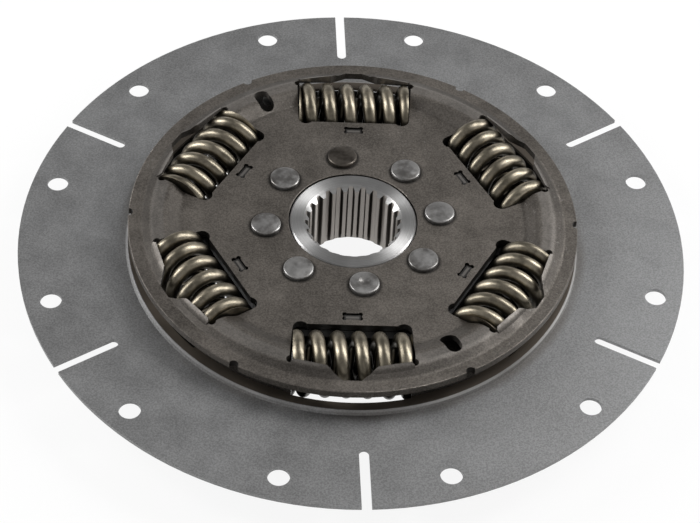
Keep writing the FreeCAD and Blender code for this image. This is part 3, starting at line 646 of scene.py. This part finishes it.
@dataclass(frozen=True)
class FrictionFinish:
    """Dark moulded friction lining and bush material."""

    name: str = "friction_lining"
    light: Colour = grey(0.26, 0.05)
    dark: Colour = grey(0.18, 0.06)
    roughness: float = 0.7
    metal: float = 0.0

    def build(self) -> bpy.types.Material:
        """Build the material."""
        wires = Wiring(self.name)
        grain = wires.noise(LINING_GRAIN)
        colour = wires.mix(wires.fit(grain, *LINING_GRAIN.spread), self.dark, self.light)
        wires.bump(grain, LINING_RELIEF)
        return wires.finish(colour, self.roughness, self.metal)


@dataclass(frozen=True)
class LugRingFinish:
    """Dark lining of the front friction ring, whose lugs are rubbed bright between their dark edges."""

    name: str = "lug_ring_lining"
    lining: Colour = grey(0.2, 0.08)
    rubbed_and_highlight: Colour = grey(0.34, 0.08)
    edge: Colour = grey(0.1, 0.1)
    lug_count: int = 6
    lug_angle: float = 87.4
    lug_circle: float = 66.3 * MM
    lug_half: Range = (0.5 * MM, 3.2 * MM)
    lug_blur: float = 0.4 * MM
    roughness: float = 0.5
    metal: float = 0.3

    def build(self) -> bpy.types.Material:
        """Build the material."""
        wires = Wiring(self.name)
        grain = wires.noise(LINING_GRAIN)
        outwards, sideways = wires.beside(self.lug_count, self.lug_angle, self.lug_circle)
        deep, wide = self.lug_half
        middle = wires.product(wires.band(outwards, -deep, deep, self.lug_blur),
                               wires.band(sideways, -wide, wide, self.lug_blur))
        colour = wires.mix(wires.fit(grain, *LINING_GRAIN.spread), self.edge, self.lining)
        colour = wires.mix(middle, colour, self.rubbed_and_highlight)
        wires.bump(grain, LINING_RELIEF)
        return wires.finish(colour, self.roughness, self.metal)


@dataclass
class Coil:
    """A compression spring wound about X, with closed and ground ends."""

    outer_diameter: float
    wire: float
    open_turns: float
    length: float
    hand: Hand
    closing_share: float = 0.88
    tail_share: float = 1.01
    phase: float = 0.0
    ring_points: int = 26
    steps_per_turn: int = 60

    def build(self, name: str, place: Matrix) -> bpy.types.Object:
        """Wind the coil.

        Args:
            name: the piece's name.
            place: where its middle lies and which way it points.

        Returns:
            The coil, with its place in its mesh.
        """
        mesh = bmesh.new()
        mean = (self.outer_diameter - self.wire) / 2
        closing = self.wire * self.closing_share / 2
        tail = self.wire * self.tail_share - closing
        rise = self.length - 2 * closing
        half_turn = self.steps_per_turn // 2
        start = Matrix.Translation((-self.length / 2 - tail, 0, -mean)) @ Matrix.Rotation(math.pi / 2, 4, "X")
        ring = bmesh.ops.create_circle(mesh, cap_ends=False, radius=self.wire / 2, segments=self.ring_points,
                                       matrix=start)
        last = ring["verts"] + mesh.edges[:]
        open_steps = round(self.open_turns * self.steps_per_turn)
        stretches = ((tail, half_turn), (closing, half_turn), (rise, open_steps), (closing, half_turn),
                     (tail, half_turn))
        for advance, steps in stretches:
            turn = math.tau * steps / self.steps_per_turn * self.hand.value
            spun = bmesh.ops.spin(mesh, geom=last, cent=(0, 0, 0), axis=(1, 0, 0), angle=turn, steps=steps,
                                  dvec=(advance / steps, 0, 0))
            last = spun["geom_last"]
        self.close(mesh)
        mesh.transform(place @ Matrix.Rotation(math.radians(self.phase) * self.hand.value, 4, "X"))
        return new_piece(name, mesh)

    def close(self, mesh: bmesh.types.BMesh) -> None:
        """Grind both ends flat and close them.

        Args:
            mesh: the wound wire.
        """
        for side in (-1, 1):
            whole = mesh.verts[:] + mesh.edges[:] + mesh.faces[:]
            bmesh.ops.bisect_plane(mesh, geom=whole, dist=ON_PLANE, plane_co=(side * self.length / 2, 0, 0),
                                   plane_no=(side, 0, 0), clear_outer=True)
        rims = [edge for edge in mesh.edges if edge.is_boundary]
        bmesh.ops.holes_fill(mesh, edges=rims, sides=0)
        bmesh.ops.remove_doubles(mesh, verts=mesh.verts[:], dist=SAME_POINT)
        bmesh.ops.recalc_face_normals(mesh, faces=mesh.faces[:])


def new_piece(name: str, mesh: bmesh.types.BMesh, sharp: float = SHARP_ANGLE) -> bpy.types.Object:
    """Turn a bmesh into a piece of the scene, shaded smooth up to an angle.

    Args:
        name: the piece's name.
        mesh: its mesh, which is used up.
        sharp: edges over this many degrees stay sharp.

    Returns:
        The new object, which sits at the origin.
    """
    for face in mesh.faces:
        face.smooth = True
    for edge in mesh.edges:
        edge.smooth = edge.is_boundary or edge.calc_face_angle(0.0) < math.radians(sharp)
    data = bpy.data.meshes.new(name)
    mesh.to_mesh(data)
    mesh.free()
    piece = bpy.data.objects.new(name, data)
    bpy.context.scene.collection.objects.link(piece)
    return piece


def dress(piece: bpy.types.Object, *materials: bpy.types.Material) -> None:
    """Give a piece its materials.

    Args:
        piece: the piece.
        materials: one for each material number on its faces.
    """
    if piece.data.materials:
        piece.data.materials.clear()
    for material in materials:
        piece.data.materials.append(material)
    log.info("%s: %s, %d faces", piece.name, materials[0].name, len(piece.data.polygons))


@dataclass
class SpringSet:
    """The stout coils and the thin coils inside them."""

    count: int = 6
    circle_radius: float = 89.0 * MM
    mid_height: float = 6.2 * MM
    pattern_turn: float = -2.6
    length: float = 59.0 * MM
    travel_at_limit: float = 11.0 * MM
    phases: tuple[float, ...] = (102.0, 223.0, 273.0, 153.0, 93.0, 283.0)
    outer: Coil = field(default_factory=lambda: Coil(33.7 * MM, 7.0 * MM, 5.0, 59.0 * MM, Hand.RIGHT))
    inner: Coil = field(default_factory=lambda: Coil(18.6 * MM, 4.0 * MM, 8.0, 59.0 * MM, Hand.LEFT,
                                                     ring_points=16, steps_per_turn=40))
    outer_steel: SpringSteelFinish = SpringSteelFinish()
    # The inner coils get near-black greys: painted shade for coils that sit in the outer coils' shade.
    inner_steel: SpringSteelFinish = SpringSteelFinish("inner_spring_steel", (0.12, 0.105, 0.08),
                                                       (0.06, 0.052, 0.04))

    def build(self) -> None:
        """Wind every coil and set it in its window."""
        sets = (("outer", self.outer, self.outer_steel), ("inner", self.inner, self.inner_steel))
        for kind, coil, finish in sets:
            steel = finish.build()
            for place, phase in enumerate(self.phases):
                node = f"{kind}_spring_{place + 1}"
                self.set_coil(node, kind, replace(coil, phase=phase), place, steel)

    def set_coil(self, node: str, kind: str, coil: Coil, place: int, steel: bpy.types.Material) -> None:
        """Wind one coil and tie it to the damper.

        Args:
            node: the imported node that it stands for.
            kind: outer or inner.
            coil: its winding.
            place: its place round the disc, from 0.
            steel: its material.
        """
        turn = Matrix.Rotation(math.radians(self.pattern_turn - 360 / self.count * place), 4, "Z")
        centre = turn @ Vector((0, self.circle_radius, 0)) + Vector((0, 0, self.mid_height))
        piece = coil.build(f"{kind}_coil_{place + 1}", Matrix.Translation(centre) @ turn)
        dress(piece, steel)
        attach(piece, Body.SPRINGS.value)
        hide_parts(node)
        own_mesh(piece)


@dataclass(frozen=True)
class Rivet:
    """One rivet of the hub, with the shape that the hammer left on its heads."""

    angle: float
    dish: float = 0.5 * MM
    dent: float = 0.0
    lean: float = 0.0
    lean_towards: float = 0.0
    browned: bool = False


@dataclass
class HubRivets:
    """The rivets through the covers and the hub's flange.

    The edge's curve gives places inwards from the head's reach and below its rim, in shares of the edge.
    """

    circle_radius: float = 45.3 * MM
    head_radius: float = 7.7 * MM
    shank_radius: float = 5.0 * MM
    rim_height: float = 2.0 * MM
    edge: float = 0.45 * MM
    edge_curve: tuple[Range, ...] = ((1.2, 0.12), (0.45, 0.5), (0.1, 1.1), (0.0, 2.2))
    crown_inset: float = 2.2
    crown_shares: tuple[float, ...] = (0.0, 0.12, 0.24, 0.36, 0.5, 0.65, 0.8, 1.0)
    dent_reach: float = 0.5
    sharp_angle: float = 50.0
    seats: Range = (-4.2 * MM, 16.6 * MM)
    steps: int = 56
    rivets: tuple[Rivet, ...] = (
        Rivet(4.9, 0.3 * MM, 0.0, 1.5, 200.0),
        Rivet(49.9, 0.4 * MM, 0.0, 1.0, 30.0),
        Rivet(94.9, 0.1 * MM, 0.0, 3.0, 95.0, browned=True),
        Rivet(139.9, 0.4 * MM),
        Rivet(184.9, 0.5 * MM, 0.0, 0.8, 10.0),
        Rivet(229.9, 0.4 * MM),
        Rivet(274.9, 0.3 * MM, 0.9 * MM, 1.5, 250.0),
        Rivet(319.9, 0.4 * MM, 0.0, 1.0, 300.0),
    )
    steel: RivetSteelFinish = RivetSteelFinish("hub_rivet_steel")
    browned_steel: RivetSteelFinish = RivetSteelFinish("browned_steel", grey(0.34, 0.14), grey(0.2, 0.2))

    def build(self) -> None:
        """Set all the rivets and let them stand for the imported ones."""
        mesh = bmesh.new()
        for rivet in self.rivets:
            self.add_rivet(mesh, rivet)
        piece = new_piece("upset_rivets", mesh, self.sharp_angle)
        dress(piece, self.steel.build(), self.browned_steel.build())
        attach(piece, Body.DRIVEN.value)
        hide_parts("hub_rivets")

    def head(self, seat: float, way: float, rivet: Rivet) -> list[Vector]:
        """Outline of one head, from the middle of its top to the foot of its shank.

        Args:
            seat: the height of the sheet's face.
            way: 1 for a head on top and -1 for one underneath.
            rivet: the rivet that the head belongs to.

        Returns:
            Points across the head.
        """
        rim, reach = self.rim_height, self.head_radius
        inner = reach - self.edge * self.crown_inset
        outline = []
        for share in self.crown_shares:
            dent = rivet.dent * max(0.0, 1 - (share / self.dent_reach) ** 2) if way > 0 else 0.0
            outline.append((inner * share, rim + rivet.dish * (1 - share ** 2) - dent))
        for inwards, below in self.edge_curve:
            outline.append((reach - self.edge * inwards, rim - self.edge * below))
        outline += [(reach, 0.0), (self.shank_radius, 0.0)]
        return [Vector((across, 0.0, seat + rise * way)) for across, rise in outline]

    def add_rivet(self, mesh: bmesh.types.BMesh, rivet: Rivet) -> None:
        """Turn one rivet about its own axis and set it on the circle.

        Args:
            mesh: the mesh that gathers the rivets.
            rivet: its angle and its shape.
        """
        low, high = self.seats
        outline = self.head(high, 1.0, rivet) + self.head(low, -1.0, rivet)[::-1]
        verts = [mesh.verts.new(point) for point in outline]
        edges = [mesh.edges.new(pair) for pair in zip(verts, verts[1:])]
        spun = bmesh.ops.spin(mesh, geom=verts + edges, cent=(0, 0, 0), axis=(0, 0, 1), angle=math.tau,
                              steps=self.steps, use_merge=True, use_duplicate=False)
        seeds = [item for item in spun["geom_last"] if isinstance(item, bmesh.types.BMVert)]
        whole = self.island(mesh, seeds)
        bmesh.ops.remove_doubles(mesh, verts=whole, dist=SAME_POINT)
        whole = self.island(mesh, [vert for vert in whole if vert.is_valid])
        for face in {face for vert in whole for face in vert.link_faces}:
            face.material_index = int(rivet.browned)
        top = [vert for vert in whole if vert.co.z > high + self.rim_height / 2]
        hinge = Matrix.Rotation(math.radians(rivet.lean_towards), 3, "Z") @ Vector((1, 0, 0))
        lean = Matrix.Rotation(math.radians(rivet.lean), 4, hinge)
        middle = Matrix.Translation((0, 0, high + self.rim_height))
        bmesh.ops.transform(mesh, matrix=middle @ lean @ middle.inverted(), verts=top)
        outwards = Matrix.Translation((self.circle_radius, 0, 0))
        place = Matrix.Rotation(math.radians(rivet.angle), 4, "Z") @ outwards
        bmesh.ops.transform(mesh, matrix=place, verts=whole)

    def island(self, mesh: bmesh.types.BMesh, seeds: list) -> list:
        """Gather every vertex that hangs together with the given ones.

        Args:
            mesh: the mesh that they belong to.
            seeds: some vertices of the island.

        Returns:
            All of its vertices, in the mesh's order.
        """
        found, edge = set(seeds), list(seeds)
        while edge:
            vert = edge.pop()
            for link in vert.link_edges:
                other = link.other_vert(vert)
                if other not in found:
                    found.add(other)
                    edge.append(other)
        return [vert for vert in mesh.verts if vert in found]


@dataclass
class PlateWork:
    """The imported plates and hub, which keep their shapes and get their finishes."""

    finishes: dict[str, Finish] = field(default_factory=lambda: {
        "flex_plate": RolledSheetFinish(),
        # The drive disc gets darker greys: painted shade for a disc that lies in the covers' shade.
        "drive_disc": PressedSheetFinish("disc_sheet", grey(0.2, 0.1), grey(0.15, 0.12)),
        "front_cover": PressedSheetFinish("front_cover_sheet"),
        # The rear cover's inner face, which looks up into the damper, gets painted shade out to 120 mm.
        "rear_cover": PressedSheetFinish("rear_cover_sheet", inside_faces=1.0, shade_reach=120.0 * MM),
        "hub": TurnedSteelFinish(),
        "drive_rivets": RivetSteelFinish("drive_rivet_steel"),
        "centring_bush": FrictionFinish("bush_lining"),
        "front_friction_ring": LugRingFinish(),
        "rear_friction_ring": FrictionFinish("rear_lining"),
        "spring_washer": RivetSteelFinish("washer_steel"),
    })

    def dress_all(self, nodes: dict[str, bpy.types.Object]) -> None:
        """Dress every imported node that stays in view.

        Args:
            nodes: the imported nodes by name.
        """
        for name, finish in self.finishes.items():
            dress(nodes[name], finish.build())


@dataclass(frozen=True)
class SoftBox:
    """A flat lamp that faces the middle of the disc."""

    name: str
    spot: tuple[float, float, float]
    power: float
    width: float
    depth: float


@dataclass
class Studio:
    """The pale floor, the soft lights and the camera at the photograph's angle."""

    floor_height: float = -24.0 * MM
    floor_half: float = 3.0
    floor_tone: float = 0.9
    floor_roughness: float = 0.9
    floor_glow: float = 0.9
    background: Colour = (1.0, 1.0, 1.0)
    sky: float = 0.36
    surround_top: Range = (0.22, 0.4)
    frame_width: float = 700.0
    focal_px: float = 2343.2
    sensor_mm: float = 36.0
    elevation: float = 47.49
    azimuth: float = -4.73
    roll: float = 3.26
    bolt_circle_radius: float = 160 * MM
    aim: Range = (-0.0102, -0.0934)
    distance: float = 7.588
    frame_lift: float = 1.0 * MM
    boxes: tuple[SoftBox, ...] = (
        SoftBox("key_box", (1.1, 0.2, 0.64), 12.2, 0.35, 1.2),
        SoftBox("left_box", (-1.12, 0.3, 0.62), 13.6, 0.4, 1.1),
        SoftBox("high_box", (0.75, 0.45, 1.2), 6.0, 0.7, 0.5),
        SoftBox("front_box", (0.0, -1.2, 0.9), 0.5, 0.8, 0.4),
    )

    def build(self) -> None:
        """Set up the floor, the world, the lights and the camera."""
        self.set_camera()
        self.set_world()
        self.set_lights()
        self.lay_floor()

    def set_camera(self) -> None:
        """Place the camera where the photograph was taken from, in radii of the bolt circle."""
        rise, round_z, lean = (math.radians(x) for x in (self.elevation, self.azimuth, self.roll))
        back = Vector((math.sin(round_z) * math.cos(rise), -math.cos(round_z) * math.cos(rise),
                       math.sin(rise)))
        right = Vector((math.cos(round_z), math.sin(round_z), 0))
        up = back.cross(right)
        rolled_right = right * math.cos(lean) + up * math.sin(lean)
        rolled_up = up * math.cos(lean) - right * math.sin(lean)
        data = bpy.data.cameras.new("camera")
        data.sensor_width = self.sensor_mm
        data.lens = self.focal_px / self.frame_width * self.sensor_mm
        camera = bpy.data.objects.new("camera", data)
        turn = Matrix((rolled_right, rolled_up, back)).transposed().to_4x4()
        unit = self.bolt_circle_radius
        target = Vector((self.aim[0] * unit, self.aim[1] * unit, self.frame_lift))
        eye = target + back * (self.distance * unit)
        camera.matrix_world = Matrix.Translation(eye) @ turn
        bpy.context.scene.collection.objects.link(camera)
        bpy.context.scene.camera = camera

    def set_world(self) -> None:
        """Show a white surround to the camera, and low down to reflections, under a dim soft sky."""
        world = bpy.data.worlds.new("studio")
        world.use_nodes = True
        tree = world.node_tree
        tree.nodes.clear()
        out = tree.nodes.new("ShaderNodeOutputWorld")
        path = tree.nodes.new("ShaderNodeLightPath")
        mix = tree.nodes.new("ShaderNodeMixShader")
        soft = tree.nodes.new("ShaderNodeBackground")
        shown = tree.nodes.new("ShaderNodeBackground")
        soft.inputs["Strength"].default_value = self.sky
        shown.inputs["Color"].default_value = (*self.background, 1)
        split = tree.nodes.new("ShaderNodeSeparateXYZ")
        tree.links.new(tree.nodes.new("ShaderNodeTexCoord").outputs["Generated"], split.inputs[0])
        low = tree.nodes.new("ShaderNodeMapRange")
        tree.links.new(split.outputs["Z"], low.inputs["Value"])
        for socket, number in zip(low.inputs[1:5], (*self.surround_top, 1.0, 0.0)):
            socket.default_value = number
        seen = path.outputs["Is Camera Ray"]
        for ray in ("Is Glossy Ray", "Is Transmission Ray"):
            shown_low = tree.nodes.new("ShaderNodeMath")
            shown_low.operation = "MULTIPLY"
            tree.links.new(path.outputs[ray], shown_low.inputs[0])
            tree.links.new(low.outputs["Result"], shown_low.inputs[1])
            either = tree.nodes.new("ShaderNodeMath")
            either.operation = "MAXIMUM"
            tree.links.new(seen, either.inputs[0])
            tree.links.new(shown_low.outputs[0], either.inputs[1])
            seen = either.outputs[0]
        tree.links.new(seen, mix.inputs[0])
        tree.links.new(soft.outputs[0], mix.inputs[1])
        tree.links.new(shown.outputs[0], mix.inputs[2])
        tree.links.new(mix.outputs[0], out.inputs["Surface"])
        bpy.context.scene.world = world
        bpy.context.scene.view_settings.view_transform = "Standard"

    def set_lights(self) -> None:
        """Stand tall soft boxes on the right and left, and hang small ones high up and in front."""
        for box in self.boxes:
            data = bpy.data.lights.new(box.name, "AREA")
            data.shape = "RECTANGLE"
            data.size = box.width
            data.size_y = box.depth
            data.energy = box.power
            light = bpy.data.objects.new(box.name, data)
            light.location = box.spot
            light.rotation_mode = "QUATERNION"
            light.rotation_quaternion = (-Vector(box.spot)).to_track_quat("-Z", "Y")
            bpy.context.scene.collection.objects.link(light)

    def lay_floor(self) -> None:
        """Lay a white floor under the hub's rear end."""
        mesh = bmesh.new()
        bmesh.ops.create_grid(mesh, x_segments=1, y_segments=1, size=self.floor_half,
                              matrix=Matrix.Translation((0, 0, self.floor_height)))
        floor = new_piece("floor", mesh)
        wires = Wiring("floor_white")
        wires.finish((self.floor_tone,) * 3, self.floor_roughness, 0.0)
        glow = wires.node("ShaderNodeEmission")
        path = wires.node("ShaderNodeLightPath")
        mix = wires.node("ShaderNodeMixShader")
        out = wires.tree.nodes["Material Output"]
        seen = wires.math("MAXIMUM", path.outputs["Is Camera Ray"], path.outputs["Is Glossy Ray"])
        seen = wires.math("MAXIMUM", seen, path.outputs["Is Transmission Ray"])
        wires.plug(wires.product(seen, self.floor_glow), mix.inputs[0])
        wires.plug(wires.shader.outputs[0], mix.inputs[1])
        wires.plug(glow.outputs[0], mix.inputs[2])
        wires.plug(mix.outputs[0], out.inputs["Surface"])
        floor.data.materials.append(wires.material)


def main() -> None:
    """Load the frame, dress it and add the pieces."""
    logging.basicConfig(level=logging.INFO, format="%(name)s %(message)s")
    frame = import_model()
    Studio().build()
    PlateWork().dress_all(frame["nodes"])
    HubRivets().build()
    SpringSet().build()


if __name__ == "__main__":
    main()
